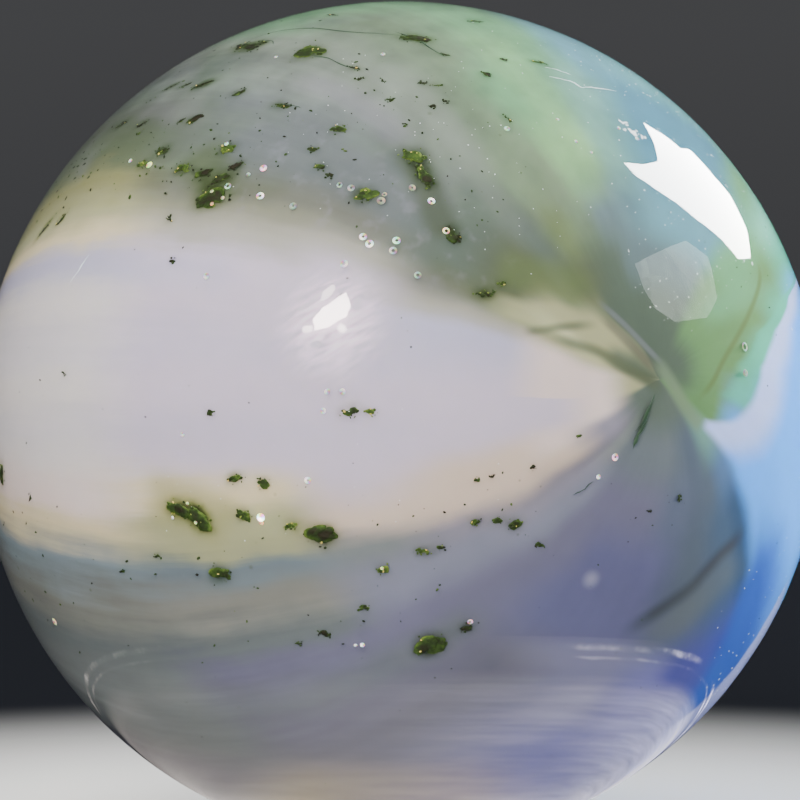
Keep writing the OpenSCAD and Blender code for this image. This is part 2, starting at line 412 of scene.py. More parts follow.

# Seed bubbles, whose glints are painted as small glowing rings: azimuth, elevation, radius in mm, wall
# as a share of the radius (1 leaves no hole), brightness of the painted glint, tint.
WHITE, PINK, MINT = (1, 0.97, 0.92), (1, 0.5, 0.66), (0.58, 1, 0.72)
GOLD, LEMON, AMBER = (1, 0.8, 0.38), (0.88, 1, 0.26), (1, 0.4, 0.12)
BUBBLES = [
    (-24, 39.5, 0.048, 0.9, 1.5, PINK), (-26.5, 38.5, 0.036, 1, 0.3, MINT),
    (-23, 35, 0.062, 0.5, 1.7, WHITE), (-29.5, 36.5, 0.056, 0.5, 0.62, MINT),
    (-33.5, 43.5, 0.034, 1, 0.95, MINT), (-31, 33.5, 0.03, 1, 0.9, AMBER),
    (-29.5, 34.5, 0.03, 1, 0.6, GOLD), (-32, 35.5, 0.034, 1, 0.45, LEMON), (-55, 40, 0.034, 1, 1.3, WHITE),
    (-49, 39.5, 0.048, 0.9, 1.3, LEMON), (-10, 37, 0.05, 0.5, 0.34, MINT),
    (-8, 36.5, 0.052, 0.7, 0.24, WHITE), (-3, 34.5, 0.06, 0.7, 0.26, GOLD),
    (-2.5, 35.5, 0.04, 0.5, 0.36, GOLD), (2, 36.5, 0.05, 0.7, 0.32, GOLD),
    (5, 34.5, 0.058, 0.5, 1.9, WHITE), (7, 30, 0.056, 0.45, 1.6, GOLD), (-5.5, 29, 0.056, 0.6, 1.3, WHITE),
    (-4.5, 28, 0.062, 0.5, 1.8, WHITE), (-0.5, 28.5, 0.062, 0.55, 1.3, MINT),
    (-1, 27, 0.062, 0.5, 0.55, WHITE), (-8, 25, 0.062, 0.5, 0.8, WHITE), (2.5, 23.5, 0.056, 0.5, 0.4, MINT),
    (-28.5, 23, 0.044, 0.9, 0.65, WHITE), (-10, 5.5, 0.044, 0.6, 0.75, WHITE),
    (-9.5, 8, 0.04, 0.9, 0.62, WHITE), (-7.5, 8, 0.04, 0.9, 0.6, WHITE), (-12, -3.5, 0.05, 0.6, 1.1, WHITE),
    (-18.5, -8.5, 0.06, 1, 4, WHITE), (-18.5, -9.3, 0.03, 1, 1, AMBER), (-2.4, -15.3, 0.026, 1, 0.9, LEMON),
    (-64, -26, 0.056, 0.7, 0.7, GOLD), (-5.5, -26.5, 0.034, 1, 1.3, WHITE),
    (-6.5, -26.5, 0.026, 1, 0.8, WHITE), (10, -23, 0.042, 0.6, 0.8, PINK), (27, -3.5, 0.034, 1, 0.9, WHITE),
    (29.5, -1, 0.052, 0.7, 1.1, PINK), (-29.5, 2, 0.034, 1, 0.55, WHITE), (21, 46.5, 0.04, 0.9, 0.6, MINT),
    (55, 12.5, 0.08, 0.35, 0.5, MINT), (54, 9, 0.05, 0.9, 0.22, MINT), (34.5, 44, 0.03, 1, 0.6, WHITE),
    (36.5, 42, 0.028, 1, 0.5, WHITE), (33, 48, 0.028, 1, 0.6, WHITE), (47, 46, 0.032, 1, 0.9, WHITE),
    (50, 44, 0.032, 1, 1, WHITE), (-38, 62, 0.03, 1, 0.7, WHITE), (-5, 63, 0.036, 1, 0.6, WHITE),
    (-28, -9.5, 0.028, 1, 0.75, LEMON), (-29, -7, 0.026, 1, 0.6, LEMON), (-31.5, -9, 0.026, 1, 0.8, WHITE),
    (-17, 33.5, 0.05, 0.9, 0.22, MINT), (130, 15, 0.06, 0.5, 0.8, WHITE), (165, 30, 0.05, 0.5, 0.7, MINT),
    (-140, 10, 0.06, 0.5, 0.8, WHITE), (-115, 30, 0.05, 0.9, 0.8, GOLD), (-100, -5, 0.05, 0.5, 0.5, WHITE),
    (-160, 20, 0.05, 0.5, 0.6, MINT), (140, -25, 0.05, 0.9, 0.5, WHITE),
]
BUBBLE_GREY = (0.16, 0.165, 0.15)
# The emission strength of a painted glint whose stored colour is 1.
BUBBLE_PEAK = 4.0

# Nicks in the surface: azimuth, elevation, size in mm, and the grains in each.
NICKS = [
    (49.4, 44.9, 0.22), (51, 43.8, 0.14), (48.6, 46.4, 0.16), (47.4, 45.2, 0.1), (86.7, 56.5, 0.1),
    (91.3, 47.1, 0.1), (91.1, 45.7, 0.08), (91, 45, 0.08), (90.7, 41.3, 0.1), (60.4, 24.3, 0.09),
    (58, 26.2, 0.07), (62.5, 23.5, 0.07), (79, 52, 0.06), (70, 14, 0.05), (62, 30, 0.07), (68, 35, 0.06),
    (72, 40, 0.07),
]
NICK_GRAINS = 9

# The studio's grey, low and high, and the heights between which it changes, as sines.
STUDIO_LOW = (0.028, 0.029, 0.034)
STUDIO_HIGH = (0.062, 0.063, 0.066)
STUDIO_EDGE = (-0.13, -0.01)

# The floor: its radius, the distances between which its painted pool of light fades out, and its two
# colours.
FLOOR_RADIUS = 60 * MM
FLOOR_LIGHT_POOL_FADE = (9 * MM, 25 * MM)
FLOOR_PALE = (0.46, 0.45, 0.43)
FLOOR_GREY = (0.006, 0.0065, 0.008)

# The soft lamps: name, azimuth, elevation, distance and size in metres, power in watts, colour.
SOFTBOXES = [
    ("key", -22, 30, 0.2, 0.1, 0.8, (1, 0.99, 0.97)),
    ("fill", 30, 5, 0.25, 0.2, 0.35, (0.95, 0.98, 1)),
    ("limb_highlight", 122, 18, 0.18, 0.1, 1.7, (0.95, 0.98, 1)),
    ("top", 0, 85, 0.2, 0.15, 0.35, (1, 1, 1)),
]

# The mirrored disc, a glowing stand-in that paints the floor's reflection in the glass. Its lengths are in
# mm:
# where a fade begins and where it ends, or where a band begins and ends and its softness.
MIRROR_RADIUS = 10.6
MIRROR_GLOW = 2.78
MIRROR_SIDE = (-6, 7)
MIRROR_NEAR = (7, 4.5)
MIRROR_FADE = (8.9, 7.6)
MIRROR_STRIP = (-6.1, -4.7, 0.5)
MIRROR_CONTACT = (5.7, 4.4)
MIRROR_CONTACT_SIDE = (-3, 2.4, 1.2)
MIRROR_HAZE = (8.4, 10.4, 0.8)
# Its painted highlights, two bright rims: radius from and to, softness and strength.
MIRROR_RIMS = [(9.38, 9.52, 0.08, 1.6), (9.9, 10.2, 0.12, 2.6)]
# Its colours, on the left, on the right and in the painted warm glow round the place where the ball stands.
MIRROR_LEFT = (0.96, 0.87, 0.8)
MIRROR_RIGHT = (0.92, 0.88, 1)
MIRROR_CONTACT_GLOW = (1, 0.82, 0.5)

# Lamps and windows seen only as reflections. Their corners are (azimuth, elevation).
CARD_DISTANCE = 150 * MM
WINDOW = [
    (141.5, 35.5), (142.2, 31), (141.9, 28.8), (145.5, 25.6), (144, 22), (144, 19.4), (139, 17.4),
    (131, 17.2), (124, 20), (122, 24.1), (117.5, 30.1), (115.6, 34.5), (113.4, 38.7), (112, 43.5),
    (114.3, 46), (119.7, 41.8), (126.5, 37.8), (133.6, 36.6),
]
GREY_PANE = [
    (80.7, 34.3), (96.3, 33), (106.1, 30.8), (110.6, 25.7), (104.7, 19.9), (97, 18.4), (84.4, 20.4),
    (79.5, 24.2), (78.6, 29.2),
]
# The lamp's blobs: azimuth, elevation, half length and half width in degrees, heading, brightness.
LAMP_BLOBS = [
    (-20.4, 31.4, 5.2, 2.9, 40, 1), (-17.6, 35.4, 2, 1.4, 70, 0.9), (-22.6, 37, 2.4, 1.1, 58, 0.35),
    (-28, 33.5, 2.8, 0.7, 42, 0.07), (-26.2, 35.6, 2, 0.6, 45, 0.09), (-26.6, 27.2, 1.4, 1, 30, 0.5),
    (-16.6, 28, 1.1, 1.2, 60, 0.6), (-12.8, 34.6, 2, 1.2, 75, 0.06), (-23.4, 23.6, 1.6, 0.9, 15, 0.06),
]
# The corners of each blob and how jagged it is, as a share of its size.
BLOB_CORNERS = 18
BLOB_WOBBLE = 0.16
# The cards' tints and the strength of their light.
WINDOW_TINT = (1, 0.98, 0.95)
WINDOW_STRENGTH = 70.0
PANE_TINT = (0.85, 0.95, 0.88)
PANE_STRENGTH = 4.5
LAMP_TINT = (1, 0.86, 0.8)
LAMP_STRENGTH = 110.0
HALO_TINT = (1, 0.7, 0.8)
HALO_STRENGTH = 60.0
# The halo's place, the angle it spreads to, the heading of its streaks, and how fine they are along
# and across it.
HALO_PLACE = (-20, 29)
HALO_SPREAD = 20.0
HALO_HEADING = 35.0
HALO_STREAKS = (5, 22, 1)


# ---------------------------------------------------------------- places


def toward(azimuth, elevation):
    """Unit vector from the ball's centre towards a place on it."""
    a, e = math.radians(azimuth), math.radians(elevation)
    return np.array([math.sin(a) * math.cos(e), -math.cos(a) * math.cos(e), math.sin(e)])


def tangents(azimuth, elevation):
    """Unit vectors that point right and up on the ball at a place, as seen from outside."""
    a, e = math.radians(azimuth), math.radians(elevation)
    right = np.array([math.cos(a), math.sin(a), 0])
    up = np.array([-math.sin(a) * math.sin(e), math.cos(a) * math.sin(e), math.cos(e)])
    return right, up


def turned(right, up, angle):
    """Two unit vectors turned in their own plane by an angle in radians."""
    return right * math.cos(angle) + up * math.sin(angle), up * math.cos(angle) - right * math.sin(angle)


def heading_axes(azimuth, elevation, heading):
    """Unit vectors along a heading, counted from the right, and across it."""
    return turned(*tangents(azimuth, elevation), math.radians(heading))


def normalised(vectors):
    return vectors / np.linalg.norm(vectors, axis=-1, keepdims=True)


SEAM = toward(SEAM_AZIMUTH, SEAM_ELEVATION)
SEAM_RIGHT, SEAM_UP = tangents(SEAM_AZIMUTH, SEAM_ELEVATION)


def on_swirl(angle, reach):
    """Unit vectors at an angle round the seam, from the right, and at a reach from it."""
    a = np.radians(np.asarray(angle) - SEAM_ROLL)[..., None]
    r = np.radians(np.asarray(reach))[..., None]
    return np.cos(r) * SEAM + np.sin(r) * (np.cos(a) * SEAM_RIGHT + np.sin(a) * SEAM_UP)


def tongue_edges(reach):
    """The angle of the tongue's upper edge, and how far round the coloured glass goes from it."""
    upper = np.interp(reach, *zip(*TONGUE_TOP))
    return upper, upper - np.interp(reach, *zip(*TONGUE_LOW))


def turn_at(angle, reach):
    """Turn of a place on the swirl, from -60 to 300."""
    upper, glass = tongue_edges(reach)
    past = (upper - angle) % 360
    in_tongue = -TONGUE_TURN * (360 - past) / (360 - glass)
    return np.where(past <= glass, GLASS_TURN * past / glass, in_tongue)


def angle_at(turn, reach):
    """The angle round the seam at a turn from -60 to 360."""
    upper, glass = tongue_edges(reach)
    back = (turn + TONGUE_TURN) % 360 - TONGUE_TURN
    return upper - back * np.where(back >= 0, glass / GLASS_TURN, (360 - glass) / TONGUE_TURN)


def smooth(value, start, end):
    """0 before start and 1 after end, smooth between."""
    t = np.clip((value - start) / (end - start), 0, 1)
    return t * t * (3 - 2 * t)


def glass_share(turn, reach):
    """How far out the milky glass comes at a place on the swirl, as a share of the radius."""
    off_middle = np.abs(np.where(turn > 120, turn - 360, turn) + TONGUE_TURN / 2)
    tongue = 1 - smooth(off_middle, *TONGUE_FALLS)
    end = 1 - smooth(reach, *GLASS_ENDS)
    rise = TONGUE_RISE * tongue * smooth(reach, *TONGUE_BEGINS) * end
    furrows = 0
    for depth, pitch, sway, length in FURROWS:
        furrows += depth * np.sin(np.radians(turn) * pitch + sway * np.sin(np.radians(reach) * length))
    return BODY_SHARE + rise + furrows * (1 - tongue) * smooth(reach, *FURROWS_BEGIN) * end


def share_towards(unit):
    """The same for unit vectors from the ball's centre."""
    reach = np.degrees(np.arccos(np.clip(unit @ SEAM, -1, 1)))
    angle = np.degrees(np.arctan2(unit @ SEAM_UP, unit @ SEAM_RIGHT)) + SEAM_ROLL
    return glass_share(turn_at((angle + 180) % 360 - 180, reach), reach)


def on_glass(azimuth, elevation, lift):
    """The direction of a place and its point at a lift over the milky glass."""
    out = toward(azimuth, elevation)
    return out, out * RADIUS * (share_towards(out) + lift)


def smooth_way(points, steps=6):
    """Unit vectors along a smooth way through places given as azimuth and elevation."""
    inner = [toward(*p) for p in points]
    knots = [inner[0] * 2 - inner[1], *inner, inner[-1] * 2 - inner[-2]]
    way = []
    for a, b, c, d in zip(knots, knots[1:], knots[2:], knots[3:]):
        for t in np.arange(steps) / steps:
            bend = (2 * a - 5 * b + 4 * c - d) * t * t + (3 * b - a - 3 * c + d) * t ** 3
            way.append(b + ((c - a) * t + bend) / 2)
    return normalised(np.array([*way, inner[-1]]))


def line_field(unit, points):
    """How far each place lies off a way, in degrees with a sign, and its share along the way."""
    way = smooth_way(points)
    pieces = len(way) - 1
    nearest = np.full(len(unit), np.inf)
    off, along = np.zeros((2, len(unit)))
    for index, (start, end) in enumerate(zip(way, way[1:])):
        normal = np.cross(start, end)
        length = np.linalg.norm(normal)
        normal /= length
        share = np.arctan2(unit @ np.cross(normal, start), unit @ start) / math.asin(length)
        foot = start + (end - start) * np.clip(share, 0, 1)[:, None]
        distance = np.linalg.norm(unit - foot, axis=1)
        closer = distance < nearest
        nearest = np.where(closer, distance, nearest)
        off = np.where(closer, np.degrees(np.arcsin(np.clip(unit @ normal, -1, 1))), off)
        beyond = np.clip(share, 0 if index else -9, 1 if index < pieces - 1 else 9)
        along = np.where(closer, (index + beyond) / pieces, along)
    return off, along


# ---------------------------------------------------------------- objects, camera and lamps


def new_object(name, data, material=None):
    if material:
        data.materials.append(material)
    made = bpy.data.objects.new(name, data)
    bpy.context.scene.collection.objects.link(made)
    return made


def new_mesh(name, points, faces, smooth_shading=False):
    mesh = bpy.data.meshes.new(name)
    mesh.from_pydata(np.asarray(points).tolist(), [], faces)
    if smooth_shading:
        mesh.shade_smooth()
    return mesh


def ball(subdivisions):
    """Points and faces of a ball of radius 1."""
    bm = bmesh.new()
    bmesh.ops.create_icosphere(bm, subdivisions=subdivisions, radius=1)
    points = np.array([v.co for v in bm.verts])
    faces = [tuple(v.index for v in f.verts) for f in bm.faces]
    bm.free()
    return points, faces


def add_camera():
    half = SENSOR / 2 / LENS
    distance = RADIUS / math.sin(math.atan(BALL_FILL * half))
    tilt = VIEW_ELEVATION - math.degrees(math.atan(BALL_DROP * half))
    data = bpy.data.cameras.new("camera")
    data.lens = LENS
    data.sensor_width = SENSOR
    data.clip_start = 10 * MM
    data.clip_end = 10
    camera = new_object("camera", data)
    camera.location = toward(0, VIEW_ELEVATION) * distance
    camera.rotation_euler = (math.radians(90 - tilt), 0, 0)
    bpy.context.scene.camera = camera


def add_softbox(name, azimuth, elevation, distance, size, power, colour):
    data = bpy.data.lights.new(name, "AREA")
    data.shape = "DISK"
    data.size = size
    data.energy = power
    data.color = colour
    light = new_object(name, data)
    light.location = toward(azimuth, elevation) * distance
    light.rotation_euler = (-light.location).to_track_quat("-Z", "Y").to_euler()
    light.visible_glossy = False
    light.visible_transmission = False


# ---------------------------------------------------------------- node graphs


class Graph:
    """A short way to write a node tree. "node" gives back a node and the others an output socket."""

    def __init__(self, owner):
        if isinstance(owner, str):
            owner = bpy.data.materials.new(owner)
        self.owner = owner
        owner.use_nodes = True
        self.tree = owner.node_tree
        self.tree.nodes.clear()

    def node(self, kind, inputs=(), **settings):
        made = self.tree.nodes.new("ShaderNode" + kind)
        for name, value in settings.items():
            setattr(made, name, value)
        for key, value in dict(inputs).items():
            self.feed(made.inputs[key], value)
        return made

    def feed(self, socket, value):
        if isinstance(value, bpy.types.NodeSocket):
            self.tree.links.new(value, socket)
        elif socket.type == "RGBA":
            socket.default_value = (*value, 1)
        else:
            socket.default_value = value

    def surface(self, kind, inputs):
        """Ends a material with a shader and gives the material back."""
        self.node("OutputMaterial", {"Surface": self.node(kind, inputs).outputs[0]})
        return self.owner

    def place(self):
        return self.node("TexCoord").outputs["Object"]

    def attribute(self, name, output="Vector"):
        return self.node("Attribute", attribute_name=name).outputs[output]

    def parts(self, vector):
        return self.node("SeparateXYZ", {0: vector}).outputs

    def joined(self, x, y, z):
        return self.node("CombineXYZ", {0: x, 1: y, 2: z}).outputs[0]

    def vector(self, operation, a, b=(0, 0, 0), output="Vector"):
        return self.node("VectorMath", {0: a, 1: b}, operation=operation).outputs[output]

    def stretched(self, vector, scale):
        return self.vector("MULTIPLY", vector, scale)

    def length(self, vector):
        return self.vector("LENGTH", vector, output="Value")

    def math(self, operation, first, *others, clamp=False):
        """One operation over its values, from left to right."""
        for other in others or (0,):
            made = self.node("Math", {0: first, 1: other}, operation=operation, use_clamp=clamp)
            first = made.outputs[0]
        return first

    def add(self, *values, clamp=False):
        return self.math("ADD", *values, clamp=clamp)

    def mul(self, *values, clamp=False):
        return self.math("MULTIPLY", *values, clamp=clamp)

    def line(self, value, slope, start):
        """The value times a slope, plus a start."""
        return self.add(self.mul(value, slope), start)

    def step(self, value, start, end):
        """0 before start and 1 after end, smooth between."""
        limits = {"Value": value, "From Min": start, "From Max": end}
        return self.node("MapRange", limits, interpolation_type="SMOOTHSTEP").outputs["Result"]

    def band(self, value, start, end, soft):
        """1 between start and end, with a soft edge about each."""
        rise = self.step(value, start - soft, start + soft)
        fall = self.step(value, end - soft, end + soft)
        return self.math("SUBTRACT", rise, fall, clamp=True)

    def mix(self, share, a, b, blend="MIX"):
        inputs = {0: share, 6: a, 7: b}
        return self.node("Mix", inputs, data_type="RGBA", blend_type=blend).outputs[2]

    def lerp(self, share, a, b):
        return self.node("Mix", {0: share, 2: a, 3: b}, data_type="FLOAT").outputs[0]

    def multiply(self, a, b):
        return self.mix(1, a, b, "MULTIPLY")

    def brighter(self, colour, light):
        """A colour with a light added, as a share of itself."""
        gain = self.add(1, light)
        return self.multiply(colour, self.joined(gain, gain, gain))

    def noise(self, vector, scale, detail=3, roughness=0.5):
        """Noise from -1 to 1, near enough, with its middle at 0."""
        inputs = {"Vector": vector, "Scale": scale, "Detail": detail, "Roughness": roughness}
        value = self.node("TexNoise", inputs).outputs[0]
        return self.mul(self.math("SUBTRACT", value, 0.5), 4)

    def ramp(self, position, stops, kind="EASE"):
        made = self.node("ValToRGB", {"Fac": position})
        made.color_ramp.interpolation = kind
        elements = made.color_ramp.elements
        for index, (place, colour) in enumerate(stops):
            element = elements[index] if index < 2 else elements.new(place)
            element.position = place
            element.color = (*colour, 1)
        return made.outputs["Color"]


def set_world():
    """A dark grey studio, a little lighter above the horizon."""
    world = bpy.data.worlds.new("studio")
    g = Graph(world)
    height = g.parts(g.node("TexCoord").outputs["Generated"])[2]
    limits = {"Value": height, "From Min": STUDIO_EDGE[0], "From Max": STUDIO_EDGE[1]}
    colour = g.mix(g.node("MapRange", limits).outputs["Result"], STUDIO_LOW, STUDIO_HIGH)
    background = g.node("Background", {"Color": colour}).outputs[0]
    g.node("OutputWorld", {"Surface": background})
    bpy.context.scene.world = world


# ---------------------------------------------------------------- floor and cards


def disc(name, radius, sides, material):
    """A flat round object at the height of the ball's foot."""
    mesh = bpy.data.meshes.new(name)
    bm = bmesh.new()
    bmesh.ops.create_circle(bm, cap_ends=True, segments=sides, radius=radius)
    bm.to_mesh(mesh)
    bm.free()
    made = new_object(name, mesh, material)
    made.location.z = -RADIUS
    return made


def add_floor():
    """A round pale floor whose colour fades to the studio's grey away from the ball: a painted pool of
    light.
    """
    g = Graph("pale_floor")
    # Painted pool of light: the floor darkens outward from the ball.
    colour = g.mix(g.step(g.length(g.place()), *FLOOR_LIGHT_POOL_FADE), FLOOR_PALE, FLOOR_GREY)
    matt = {"Base Color": colour, "Roughness": 1.0, "Specular IOR Level": 0.0}
    floor = disc("floor", FLOOR_RADIUS, 128, g.surface("BsdfPrincipled", matt))
    floor.visible_glossy = False


def add_floor_mirror():
    """The glowing pale disc under the ball that the glass reflects in place of the whole floor: a painted
    reflection.
    """
    g = Graph("floor_mirror")
    where = g.stretched(g.place(), (1 / MM, 1 / MM, 1 / MM))
    radius = g.length(where)
    across, deep, _ = g.parts(where)
    side = g.step(across, *MIRROR_SIDE)
    # Painted warm glow round the place where the ball stands.
    contact_glow = g.mul(g.step(radius, *MIRROR_CONTACT), g.band(across, *MIRROR_CONTACT_SIDE))
    light = mirror_light(g, radius, across, deep, side)
    light = g.add(light, g.mul(contact_glow, 0.6))
    light = g.mul(light, g.add(1, mirror_streaks(g, where, radius, side)), g.step(radius, *MIRROR_FADE))
    light = mirror_edge(g, light, where, radius, across, deep)
    colour = g.mix(contact_glow, g.mix(side, MIRROR_LEFT, MIRROR_RIGHT), MIRROR_CONTACT_GLOW)
    glow = g.node("Emission", {"Color": colour, "Strength": g.mul(light, MIRROR_GLOW)}).outputs[0]
    clear = g.node("BsdfTransparent").outputs[0]
    mirror = disc("floor_mirror", MIRROR_RADIUS * MM, 96, g.surface("AddShader", {0: glow, 1: clear}))
    only_reflected(mirror)


def mirror_light(g, radius, across, deep, side):
    """The disc's broad light: a pale middle, more of it on the right, and a strip in front."""
    near = g.mul(g.line(side, 0.12, 0.66), g.step(radius, *MIRROR_NEAR))
    front = g.line(g.step(deep, 1.5, -1), 0.3, 0.55)
    light = g.lerp(near, g.line(side, front, 0.15), 0.5)
    strip = g.mul(g.band(deep, *MIRROR_STRIP), g.step(across, -0.5, 2))
    return g.add(light, g.mul(strip, 0.35))


def mirror_streaks(g, where, radius, side):
    """Faint arcs about the disc's middle."""
    x, y, _ = g.parts(g.vector("NORMALIZE", where))
    streaks = g.noise(g.joined(x, y, g.mul(radius, 2)), 1.6, 4, 0.6)
    return g.mul(streaks, g.line(side, 0.34, 0.08))


def mirror_edge(g, light, where, radius, across, deep):
    """Painted highlights: a haze and two ragged, broken bright rims near the disc's edge, at its ends."""
    haze = g.mul(g.band(radius, *MIRROR_HAZE), g.band(across, 4.5, 9.2, 1.5), g.step(deep, -1.5, -3.5))
    light = g.add(light, g.mul(haze, 0.58))
    ragged = g.add(radius, g.mul(g.noise(where, 0.9, 4, 0.6), 0.05))
    broken = g.add(g.step(g.noise(where, 0.56, 4, 0.6), -0.3, 0.9), 0.1)
    corner = g.mul(g.step(across, 9.2, 9.8), g.step(deep, 0.6, -1.6))
    left = g.mul(g.step(across, -7.6, -8.6), 0.22)
    ends = g.add(g.band(across, 6.5, 8.8, 0.7), corner, left)
    for start, end, soft, strength in MIRROR_RIMS:
        light = g.add(light, g.mul(g.band(ragged, start, end, soft), strength, broken, ends))
    return light


def only_reflected(thing):
    thing.visible_camera = False
    thing.visible_diffuse = False
    thing.visible_shadow = False
    thing.visible_transmission = False


def glow_material(name, colour, strength):
    return Graph(name).surface("Emission", {"Color": colour, "Strength": strength})


def pane_material():
    """A dim clouded pane of uneven facets."""
    g = Graph("pane_light")
    where = g.place()
    facets = g.node("TexVoronoi", {"Vector": where, "Scale": 60}).outputs["Color"]
    facets = g.node("SeparateColor", {0: facets}).outputs[0]
    light = g.add(g.mul(g.noise(where, 90, 4, 0.6), 0.22), g.mul(facets, 0.3), 0.85)
    return g.surface("Emission", {"Color": PANE_TINT, "Strength": g.mul(light, PANE_STRENGTH)})


def add_card(name, corners, material):
    """A bright card that shows only as a reflection in the glass."""
    points = [toward(*corner) * CARD_DISTANCE for corner in corners]
    card = new_object(name, new_mesh(name, points, [range(len(points))]), material)
    only_reflected(card)


def blob_outline(azimuth, elevation, length, width, heading, seed):
    """A jagged oval about a place, with its half sizes in degrees."""
    rng = np.random.default_rng(seed)
    turns = np.linspace(0, 2 * math.pi, BLOB_CORNERS, endpoint=False)
    wobble = 1 + rng.uniform(-BLOB_WOBBLE, BLOB_WOBBLE, BLOB_CORNERS)
    along, across = length * wobble * np.cos(turns), width * wobble * np.sin(turns)
    up, right = turned(across, along, math.radians(heading))
    return list(zip(azimuth + right / math.cos(math.radians(elevation)), elevation + up))


def halo_material():
    """The lamp's soft pink halo, streaky from lower left to upper right."""
    g = Graph("lamp_halo")
    centred = g.vector("SUBTRACT", g.node("TexCoord").outputs["UV"], (0.5, 0.5, 0))
    heading = {"Vector": centred, "Angle": math.radians(-HALO_HEADING)}
    level = g.node("VectorRotate", heading, rotation_type="Z_AXIS").outputs[0]
    streaks = g.noise(g.stretched(level, HALO_STREAKS), 1, 3, 0.6)
    fade = g.math("POWER", g.step(g.length(centred), 0.5, 0), 1.6)
    share = g.mul(fade, g.add(0.45, g.mul(streaks, 0.5), clamp=True), clamp=True)
    clear = g.node("BsdfTransparent").outputs[0]
    glow = g.node("Emission", {"Color": HALO_TINT, "Strength": HALO_STRENGTH}).outputs[0]
    return g.surface("MixShader", {0: share, 1: clear, 2: glow})


def add_halo():
    centre = toward(*HALO_PLACE) * CARD_DISTANCE * 1.05
    right, up = tangents(*HALO_PLACE)
    half = CARD_DISTANCE * math.tan(math.radians(HALO_SPREAD))
    corners = [(-1, -1), (1, -1), (1, 1), (-1, 1)]
    points = [centre + (right * x + up * y) * half for x, y in corners]
    mesh = new_mesh("lamp_halo", points, [range(4)])
    layer = mesh.uv_layers.new(name="UVMap")
    for loop, (x, y) in zip(layer.data, corners):
        loop.uv = ((x + 1) / 2, (y + 1) / 2)
    halo = new_object("lamp_halo", mesh, halo_material())
    only_reflected(halo)


# ---------------------------------------------------------------- the glass


def add_piece(name, mesh, material):
    piece = new_object(name, mesh, material)
    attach(piece, "root")
    return piece


def skin_mesh():
    """The ball's surface, with the faint waviness of glass that was rolled while it was soft."""
    points, faces = ball(7)
    unit = normalised(points)
    rng = np.random.default_rng(11)
    wave = np.zeros(len(unit))
    for _ in range(SKIN_WAVES):
        way = rng.normal(size=3)
        way *= rng.uniform(5, 14) / np.linalg.norm(way)
        wave += np.sin(unit @ way + rng.uniform(0, 2 * math.pi))
    wave = (wave - wave.max()) / np.ptp(wave) * SKIN_WAVINESS
    # At its six furthest points the skin touches the CAD ball's box.
    poles = smooth(np.abs(unit).max(axis=1), 0.98, 0.998)
    to_box = np.where(np.abs(unit[:, 2]) > 0.9, 0.0, high.x - RADIUS)
    wave = wave * (1 - poles) + to_box * poles
    return new_mesh("glass_skin", unit * (RADIUS + wave)[:, None], faces, smooth_shading=True)


def skin_material():
    """Clear glass for the eye; lamps and diffuse light pass straight through it."""
    g = Graph("clear_glass")
    looks = {"Base Color": (1, 1, 1), "Roughness": 0.0, "IOR": 1.5, "Transmission Weight": 1.0}
    glass = g.node("BsdfPrincipled", looks).outputs[0]
    clear = g.node("BsdfTransparent").outputs[0]
    path = g.node("LightPath").outputs
    for_lamps = g.node("MixShader", {0: path["Is Shadow Ray"], 1: glass, 2: clear}).outputs[0]
    return g.surface("MixShader", {0: path["Is Diffuse Ray"], 1: for_lamps, 2: clear})


def ring_faces(rings, columns, closed=False):
    """Faces between rings of points. Open ends close to the two points that follow the rings."""
    faces = []
    for ring in range(rings if closed else rings - 1):
        a, b = ring * columns, (ring + 1) % rings * columns
        for k in range(columns):
            n = (k + 1) % columns
            faces.append((a + k, b + k, b + n, a + n))
    first, last, end = rings * columns, rings * columns + 1, (rings - 1) * columns
    for k in range(0 if closed else columns):
        n = (k + 1) % columns
        faces.append((first, k, n))
        faces.append((last, end + n, end + k))
    return faces


def store(mesh, name, values, kind, domain, field):
    layer = mesh.attributes.new(name, kind, domain)
    layer.data.foreach_set(field, np.asarray(values, np.float32).ravel())


def store_fields(mesh, name, *fields):
    """Stores up to three numbers for each point, as a vector."""
    values = np.zeros((len(fields[0]), 3))
    for column, field in enumerate(fields):
        values[:, column] = field
    store(mesh, name, values, "FLOAT_VECTOR", "POINT", "vector")


def body_mesh():
    """The milky body as rings about the seam, with the swirl's fields stored on its points."""
    reaches = np.concatenate([*(np.arange(*steps) for steps in BODY_RINGS), [BODY_LAST_RING]])
    angles = np.arange(BODY_COLUMNS) * 360 / BODY_COLUMNS - 180
    angle, reach = (grid.ravel() for grid in np.meshgrid(angles, reaches))
    unit = np.vstack([on_swirl(angle, reach), SEAM, -SEAM])
    angle = np.append(angle, [170, 170])
    reach = np.append(reach, [0, 180])
    turn = turn_at(angle, reach)
    points = unit * (RADIUS * glass_share(turn, reach))[:, None]
    mesh = new_mesh("milky_body", points, ring_faces(len(reaches), BODY_COLUMNS), smooth_shading=True)

    curl = FAR_CURL * smooth(reach, *FAR_CURL_REACH) ** 2
    turn = (turn + TONGUE_TURN + curl) % 360 - TONGUE_TURN
    way = np.radians(turn - TURN_CUT)
    store_fields(mesh, "swirl", np.cos(way), np.sin(way), reach / STORED_REACH)
    begun = reach - np.interp(turn, *zip(*SKY_EDGE))
    ended = turn - np.interp(reach, *zip(*BLUE_END))
    store_fields(mesh, "sky", begun, ended)
    store_fields(mesh, "stain", fleck_stain_and_shade(unit))
    for name, *_, places in BODY_LINES:
        store_fields(mesh, name, *line_field(unit, places))
    return mesh


